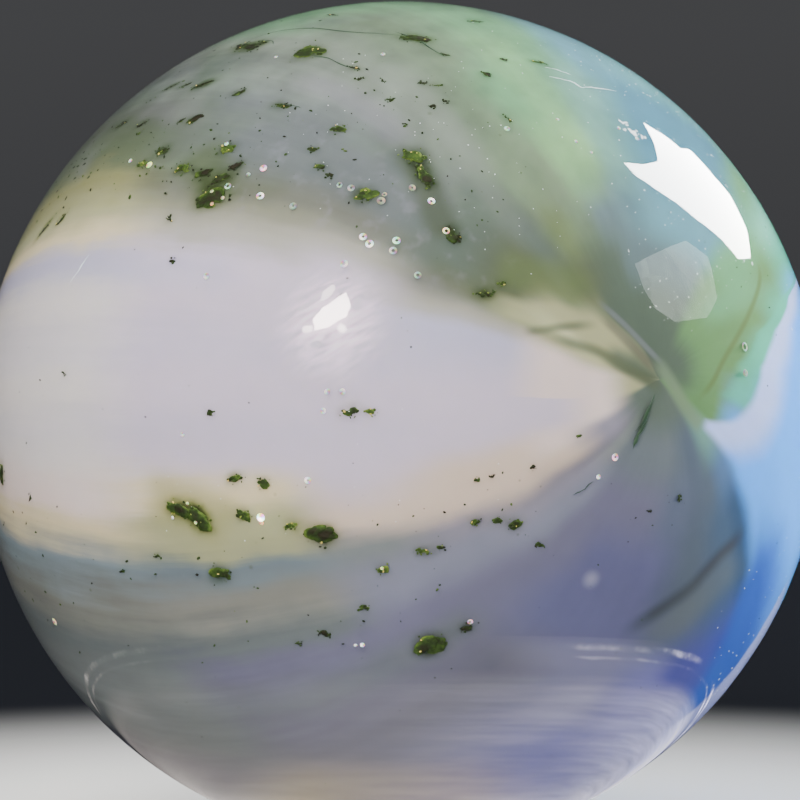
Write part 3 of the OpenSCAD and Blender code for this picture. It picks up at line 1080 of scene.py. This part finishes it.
def fleck_stain_and_shade(unit):
    """How strongly the flecks stain the glass they lie on and darken it with painted shade, at each unit
    vector.
    """
    stain = np.zeros(len(unit))
    for azimuth, elevation, length, width, heading, _ in LARGE_FLECKS + SMALL_FLECKS:
        along, across = heading_axes(azimuth, elevation, heading)
        x = unit @ along * RADIUS / MM / (length / 2 + STAIN_MARGIN)
        y = unit @ across * RADIUS / MM / (width / 2 + STAIN_MARGIN)
        near = unit @ toward(azimuth, elevation) > 0.8
        stain += near * np.exp(-1.1 * (x * x + y * y)) * min(1.1, 2.4 * length)
    return np.minimum(stain, STAIN_MOST)


def ring_colour(g, turn, ring):
    start = ring[0][0]
    place = g.math("DIVIDE", g.add(turn, -start), 360)
    return g.ramp(place, [((stop - start) / 360, colour) for stop, colour in ring])


def body_material():
    """The milky body's colour, laid over the swirl and blurred by the light that enters it."""
    g = Graph("swirled_milk_glass")
    where = g.place()
    flow = g.attribute("swirl")
    x, y, out = g.parts(flow)
    straight_turn = g.add(g.math("DEGREES", g.math("ARCTAN2", y, x)), TURN_CUT)
    straight_reach = g.mul(out, STORED_REACH)
    far = g.step(straight_reach, *FLOW_GROWS)
    broad = g.mul(g.noise(g.stretched(flow, BROAD_FLOW), 1, 3, 0.55), g.line(far, 0.8, 0.2))
    fine = g.mul(g.noise(g.stretched(flow, FINE_FLOW), 1, 4, 0.6), g.line(far, 0.9, 0.1))
    away = g.step(straight_reach, *DRIFT_GROWS)
    drift = g.mul(g.noise(where, DRIFT_SCALE, 2), away)
    swell = g.mul(g.noise(where, SWELL_SCALE), away)
    behind = g.mul(drift, g.step(straight_reach, *FAR_DRIFT_GROWS), FAR_DRIFT_TURN)
    bend = g.add(g.mul(broad, BROAD_TURN), g.mul(fine, FINE_TURN), g.mul(swell, SWELL_TURN), behind)
    turn = g.add(straight_turn, bend)
    reach = g.add(straight_reach, g.mul(drift, DRIFT_REACH), g.mul(fine, FINE_REACH))

    colour = ring_colour(g, turn, SEAM_RING)
    for ring, start, end in RINGS:
        colour = g.mix(g.step(reach, start, end), colour, ring_colour(g, turn, ring))
    for glass, turn_a, turn_b, reach_a, reach_b, soft, strength in VEILS:
        across, length = g.band(turn, turn_a, turn_b, soft), g.band(reach, reach_a, reach_b, soft)
        colour = g.mix(g.mul(across, length, strength), colour, glass)
    colour = sky_veil(g, colour, straight_turn, straight_reach, swell)
    colour = body_clouds(g, colour, where, turn, reach)
    colour = body_streaks(g, colour, turn, broad, fine, swell)
    for name, glass, half, soft, strength, _ in BODY_LINES:
        colour = body_line(g, colour, name, glass, half, soft, strength, fine)
    off = g.vector("DISTANCE", where, toward(*BLISTER) * RADIUS * BODY_SHARE, "Value")
    colour = g.mix(g.mul(g.step(off, BLISTER_SPREAD, 0), 0.5), colour, BLUE_MILK)
    colour = body_stain_and_shade(g, colour, where)
    colour = deep_dust(g, colour, where, straight_turn)
    return g.surface("BsdfPrincipled", {
        "Base Color": colour, "Roughness": 0.5, "Specular IOR Level": 0.0, "Subsurface Weight": 1.0,
        "Subsurface Radius": (1, 1, 1.2), "Subsurface Scale": BODY_SCATTER})


def sky_veil(g, colour, turn, reach, swell):
    """The bright blue veil at the right: a teal fringe, a lavender edge, then sky to cobalt, and a painted
    highlight along its limb.
    """
    begun, ended, _ = g.parts(g.attribute("sky"))
    begun = g.add(begun, g.mul(swell, 0.8))
    ended = g.add(ended, g.mul(swell, 1.2))
    fringe = g.mul(g.band(begun, -5, 0.5, 1.5), g.band(turn, 118, 172, 4), 0.7)
    colour = g.mix(fringe, colour, TEAL)
    shown = g.mul(g.step(turn, 114, 121), g.step(ended, 5, -3.5), g.step(turn, 262, 240))
    sky = g.mix(g.step(begun, 3, 10), LAVENDER, SKY)
    deep = g.mul(g.step(reach, 24, 38), g.step(g.add(turn, g.mul(swell, 3)), 181, 199))
    colour = g.mix(g.mul(g.step(begun, -0.9, 1.2), shown), colour, g.mix(deep, sky, COBALT))
    rough = g.add(reach, g.mul(swell, 1.7), g.mul(g.step(turn, 192, 214), -5))
    # Painted highlight: a pale blue band along the ball's lower right limb.
    limb_highlight = g.mul(g.band(turn, 184, 214, 3), g.band(rough, 51.3, 74, 0.9), 0.85)
    return g.mix(limb_highlight, colour, LIMB_HIGHLIGHT_BLUE)


def body_clouds(g, colour, where, turn, reach):
    """Clouds of mint and warm grey in the smoky glass, foam at its edge, curtains in the green."""
    smoky = g.mul(g.band(turn, 2, 46, 8), g.step(reach, 22, 36))
    mint = g.step(g.noise(g.stretched(where, (1, 1, 1.5)), 420), 0, 0.9)
    colour = g.mix(g.mul(mint, smoky, 0.3), colour, FOG)
    warm = g.step(g.noise(g.stretched(where, (1, 1, 1.7)), 380, 2), 0.1, 1)
    colour = g.mix(g.mul(warm, smoky, 0.28), colour, MAUVE)
    edge = g.mul(g.band(turn, -5, 17, 6), g.band(reach, 25, 66, 8))
    foam = g.step(g.noise(where, 2600, 2, 0.6), 0.1, 1.2)
    colour = g.mix(g.mul(foam, edge, 0.42), colour, MAUVE)
    green = g.mul(g.band(turn, 18, 74, 8), g.step(reach, 14, 26))
    curtain = g.noise(g.stretched(where, (1, 1, 0.16)), 1500, 2)
    speckle = g.noise(where, 2600, 4, 0.65)
    return g.brighter(colour, g.add(g.mul(curtain, green, 0.17), g.mul(speckle, 0.022)))


def body_streaks(g, colour, turn, broad, fine, swell):
    """Lighter and darker streaks along the flow, fainter in the milky tongue."""
    light = g.add(g.mul(fine, FINE_LIGHT), g.mul(broad, BROAD_LIGHT), g.mul(swell, SWELL_LIGHT))
    glass = g.band(turn, -2, 303, 6)
    return g.brighter(colour, g.mul(light, g.line(glass, 0.75, 0.25)))


def body_line(g, colour, name, glass, half, soft, strength, fine):
    """A line of one glass over the others, soft at its sides and its ends."""
    off, along, _ = g.parts(g.attribute(name))
    off = g.math("ABSOLUTE", g.add(off, g.mul(fine, 0.12)))
    share = g.mul(g.step(off, half + soft, half), g.band(along, 0.1, 0.88, 0.12), strength)
    return g.mix(share, colour, glass)


def body_stain_and_shade(g, colour, where):
    """The flecks' stain, the glass greener round them, and painted shade, the glass dark under them."""
    blot = g.line(g.noise(where, 1800), 0.5, 0.75)
    stain = g.mul(g.parts(g.attribute("stain"))[0], blot)
    share = g.mul(g.step(stain, 0.05, 1), 0.9)
    colour = g.mix(share, colour, g.multiply(colour, STAIN_TINT))
    # Painted shade: the glass darkened under the flecks.
    return g.mix(g.step(stain, 0.75, 1.35), colour, FLECK_SHADE)


def deep_dust(g, colour, where, turn):
    """Blurred specks that lie deeper in the glass."""
    off = g.node("TexVoronoi", {"Vector": where, "Scale": 1900}).outputs["Distance"]
    size = g.mul(g.math("MAXIMUM", g.add(g.noise(where, 500, 2), 0.2), 0.01), 0.15)
    glass = g.math("MAXIMUM", g.band(turn, -4, 52, 5), g.band(turn, 284, 312, 5))
    share = g.mul(g.step(off, size, g.mul(size, 0.3)), glass, 0.5)
    return g.mix(share, colour, MOSS)


# ---------------------------------------------------------------- flecks, threads and bubbles


class Parts:
    """Gathers the points and faces of many small solids for one mesh."""

    def __init__(self):
        self.points, self.faces, self.count = [], [], 0

    def add(self, points, faces):
        self.points.append(points)
        self.faces.extend(tuple(self.count + i for i in face) for face in faces)
        self.count += len(points)

    def mesh(self, name, smooth_shading=True):
        return new_mesh(name, np.vstack(self.points), self.faces, smooth_shading)


class Grains:
    """Gathers many small jittered solids into one mesh, with a tint for each."""

    def __init__(self, seed, detail=1):
        self.rng = np.random.default_rng(seed)
        self.base, self.base_faces = ball(detail)
        self.parts, self.tints = Parts(), []

    def add(self, centre, size, tint, axes=None, depth=0.3, edge=0.0):
        """A dented grain: half sizes along its axes, and how much lighter its rim is than its middle."""
        if axes is None:
            axes = np.linalg.qr(self.rng.normal(size=(3, 3)))[0]
        self.parts.add((self.base * self.dents(depth) * size) @ axes + centre, self.base_faces)
        self.tints.append(tint + edge * (self.base[:, :2] ** 2).sum(axis=1) ** 2)

    def dents(self, depth):
        """Random swells over the unit ball, broad and fine, as a factor on its radius."""
        swell = np.zeros(len(self.base))
        for waves, pitch, share in DENTS:
            ways = self.rng.normal(size=(3, waves))
            ways *= pitch / np.linalg.norm(ways, axis=0)
            phases = self.rng.uniform(0, 2 * math.pi, waves)
            swell += share * np.sin(self.base @ ways + phases).sum(axis=1) / math.sqrt(waves)
        return 1 + depth * swell[:, None]

    def mesh(self, name, smooth_shading=False):
        mesh = self.parts.mesh(name, smooth_shading)
        store(mesh, "tint", np.concatenate(self.tints), "FLOAT", "POINT", "value")
        return mesh


def add_fleck(grains, fleck):
    """A fleck: flat dented lumps grown into each other, crumbs about them and a few bright grains, partly
    painted glints.
    """
    azimuth, elevation, length, width, heading, tone = fleck
    rng = grains.rng
    out, middle = on_glass(azimuth, elevation, FLECK_LIFT)
    along, across = heading_axes(azimuth, elevation, heading)
    bend = rng.uniform(-0.3, 0.3)
    lumps = 3 + round(9 * length)
    for index in range(lumps):
        s = (2 * index + 1) / lumps - 1
        taper = math.sqrt(max(1 - s * s, 0.12))
        half = width * taper * rng.uniform(0.2, 0.38)
        x = 0.5 * (0.92 * length - half) * s
        y = (0.5 * width * taper - half) * rng.uniform(-1, 1) + bend * width * (s * s - 0.4)
        size = np.array([half * rng.uniform(1.1, 1.5), half * rng.uniform(0.75, 1), half * 0.3]) * MM
        axes = [*turned(along, across, rng.uniform(-0.6, 0.6)), out]
        place = middle + (along * x + across * y) * MM
        grains.add(place, size, tone * 0.5 + rng.normal(-0.04, 0.05), axes, 0.42, edge=0.34)
    for _ in range(2 + round(12 * length)):
        around = rng.uniform(0, 2 * math.pi)
        far = rng.uniform(0.7, 1.3) * 0.5 * MM
        place = middle + (along * length * math.cos(around) + across * width * math.sin(around)) * far
        size = rng.uniform(*CRUMB_SIZE) * MM * np.array([1, 0.8, 0.5])
        grains.add(place, size, tone * 0.6 + rng.uniform(0, 0.25))
    # Bright grains on top: partly the mineral's colour, partly painted glints.
    for _ in range(round(9 * length * tone)):
        s, t = rng.uniform(-0.8, 0.8), rng.uniform(-0.8, 0.8)
        place = middle + (along * length * s * 0.5 + across * width * t * 0.5 + out * width * 0.13) * MM
        size = rng.uniform(*BRIGHT_GRAIN_SIZE) * MM * np.array([1, 0.7, 0.5])
        grains.add(place, size, rng.uniform(0.8, 1))


def add_flecks(name, flecks, detail, seed):
    grains = Grains(seed, detail)
    for fleck in flecks:
        add_fleck(grains, fleck)
    add_piece(name, grains.mesh(name, smooth_shading=True), fleck_material(name + "_mineral"))


def add_scatter(name, seed, bands, tints, material):
    """Many small grains strewn along the veils."""
    grains = Grains(seed)
    rng = grains.rng
    for turn_a, turn_b, reach_a, reach_b, count, longest in bands:
        for _ in range(count):
            turn = turn_a + (turn_b - turn_a) * rng.beta(1.6, 1.6)
            reach = rng.uniform(reach_a, reach_b)
            place = on_swirl(angle_at(turn, reach), reach)
            share = share_towards(place) + rng.uniform(*DUST_LIFT)
            half = longest / 2 * rng.power(0.6) * MM
            size = np.array([half, half * 0.55, half * 0.4]) + DUST_LEAST
            grains.add(place * RADIUS * share, size, rng.uniform(*tints))
    add_piece(name, grains.mesh(name), material)


def fleck_material(name):
    """Bottle green mineral, moss and olive in patches, with a few gold grains that are partly painted
    glints.
    """
    g = Graph(name)
    where = g.place()
    patches = g.mul(g.noise(where, 4200, 2), 0.24)
    grain = g.mul(g.noise(where, 20000, 2), 0.1)
    colour = g.ramp(g.add(patches, grain, g.attribute("tint", "Fac")), MINERAL, "LINEAR")
    matt = {"Base Color": colour, "Roughness": 0.6, "Specular IOR Level": 0.12}
    return g.surface("BsdfPrincipled", matt)


def mottled_material(name, dark, light, roughness):
    g = Graph(name)
    share = g.add(g.mul(g.noise(g.place(), 4000), 0.4), 0.5, clamp=True)
    return g.surface("BsdfPrincipled", {"Base Color": g.mix(share, dark, light), "Roughness": roughness})


def tube_part(way, radii, sides=8):
    """Points and faces of a tapered tube along a way; both ends close to a point."""
    ahead, out = normalised(np.gradient(way, axis=0)), normalised(way)
    around = np.linspace(0, 2 * math.pi, sides, endpoint=False)[:, None]
    ring = np.cross(ahead, out)[:, None] * np.cos(around) + out[:, None] * np.sin(around) * 0.7
    points = (way[:, None] + ring * radii[:, None, None]).reshape(-1, 3)
    points = np.vstack([points, way[0] - ahead[0] * radii[0], way[-1] + ahead[-1] * radii[-1]])
    return points, [(face[0], *face[:0:-1]) for face in ring_faces(len(way), sides)]


def thread_mesh(name, threads, seed):
    """Tapered threads on the milky glass, uneven in thickness and slightly wandering."""
    rng = np.random.default_rng(seed)
    parts = Parts()
    for thickness, places in threads:
        way = smooth_way(places, 10)
        way = normalised(way + np.cumsum(rng.normal(0, THREAD_WANDER, way.shape), axis=0))
        way *= RADIUS * (share_towards(way) + THREAD_LIFT)[:, None]
        s = np.linspace(0, 1, len(way))
        swell = 0.55 + 0.45 * np.sin(s * rng.uniform(8, 16) + rng.uniform(0, 6))
        radii = thickness / 2 * MM * np.sin(np.pi * np.clip(s, 0.03, 0.97)) ** 0.6 * (0.4 + 0.6 * swell)
        parts.add(*tube_part(way, radii))
    return parts.mesh(name)


def ring_part(centre, out, major, minor, steps=20, sides=8):
    """Points and faces of a small ring that faces outward."""
    side = normalised(np.cross(out, [0, 0, 1]))
    up = np.cross(side, out)
    u = np.linspace(0, 2 * math.pi, steps, endpoint=False)[:, None]
    v = np.linspace(0, 2 * math.pi, sides, endpoint=False)[:, None]
    spoke = side * np.cos(u) + up * np.sin(u)
    points = centre + spoke[:, None] * (major + minor * np.cos(v)) + out * (minor * np.sin(v))
    return points.reshape(-1, 3), ring_faces(steps, sides, closed=True)


def add_bubbles():
    """Small rings with painted glints that glow more on one side, each a little differently in red, green
    and blue.
    """
    rng = np.random.default_rng(31)
    parts, tints = Parts(), []
    for azimuth, elevation, radius, wall, brightness, tint in BUBBLES:
        out, place = on_glass(azimuth, elevation, rng.uniform(*BUBBLE_LIFT))
        tilted = normalised(out + rng.normal(0, 0.15, 3))
        minor = radius * wall * MM * 0.62
        major = radius * MM * (0.86 if wall < 1 else 0.62)
        points, faces = ring_part(place, tilted, major, minor)
        parts.add(points, faces)
        around = np.linspace(0, 2 * math.pi, len(faces), endpoint=False) - rng.uniform(0, 2 * math.pi)
        for angle in around:
            glints = 1.25 + 0.8 * math.cos(angle) + 0.45 * np.cos(2 * angle + np.array([0, 2, 4]))
            tints.append([*(glints * tint * brightness / BUBBLE_PEAK), 1])
    mesh = parts.mesh("seed_bubbles")
    store(mesh, "tint", tints, "FLOAT_COLOR", "FACE", "color")
    # The rings glow with a painted glint, its colour stored in the tint.
    g = Graph("bubble_painted_glints")
    add_piece("seed_bubbles", mesh, g.surface("BsdfPrincipled", {
        "Base Color": BUBBLE_GREY, "Roughness": 0.4, "Emission Color": g.attribute("tint", "Color"),
        "Emission Strength": BUBBLE_PEAK}))


def add_nicks():
    """Chips in the surface: frosted scars made of small flat grains."""
    grains = Grains(41)
    rng = grains.rng
    for azimuth, elevation, size in NICKS:
        right, up = tangents(azimuth, elevation)
        out = toward(azimuth, elevation)
        for _ in range(NICK_GRAINS):
            shift = (right * rng.normal(0, 0.3) + up * rng.normal(0, 0.3)) * size * MM
            half = size * rng.uniform(0.12, 0.35) * MM
            place = normalised(out * RADIUS * NICK_SHARE + shift) * RADIUS * NICK_SHARE
            axes = [*turned(right, up, rng.uniform(0, math.pi)), out]
            grains.add(place, np.array([half, half * 0.6, half * 0.15]), rng.uniform(0, 1), axes)
    add_piece("surface_nicks", grains.mesh("surface_nicks"), mottled_material("frosted_scars", *SCAR_GLASS))


# ---------------------------------------------------------------- the scene


add_camera()
set_world()
add_floor()
add_floor_mirror()
for softbox in SOFTBOXES:
    add_softbox(*softbox)
add_card("window_card", WINDOW, glow_material("window_light", WINDOW_TINT, WINDOW_STRENGTH))
add_card("pane_card", GREY_PANE, pane_material())
for index, (*blob, brightness) in enumerate(LAMP_BLOBS):
    light = glow_material("lamp_light", LAMP_TINT, LAMP_STRENGTH * brightness)
    add_card(f"lamp_card_{index}", blob_outline(*blob, 50 + index), light)
add_halo()

skin = add_piece("glass_skin", skin_mesh(), skin_material())
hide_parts("marble")
add_piece("milky_body", body_mesh(), body_material())
add_flecks("large_flecks", LARGE_FLECKS, 3, 5)
add_flecks("small_flecks", SMALL_FLECKS, 2, 6)
add_scatter("mineral_dust", 8, DUST_BANDS, (0, 0.45), fleck_material("dust_mineral"))
add_scatter("pale_specks", 9, SPECK_BANDS, (0, 1), mottled_material("pale_mineral", *PALE_MINERAL))
for name, threads, seed, material, looks in (
        ("dark_stringers", STRINGERS, 21, "dark_glass", DARK_GLASS),
        ("pale_threads", PALE_THREADS, 22, "pale_glass", PALE_GLASS)):
    add_piece(name, thread_mesh(name, threads, seed), mottled_material(material, *looks))
add_bubbles()
add_nicks()
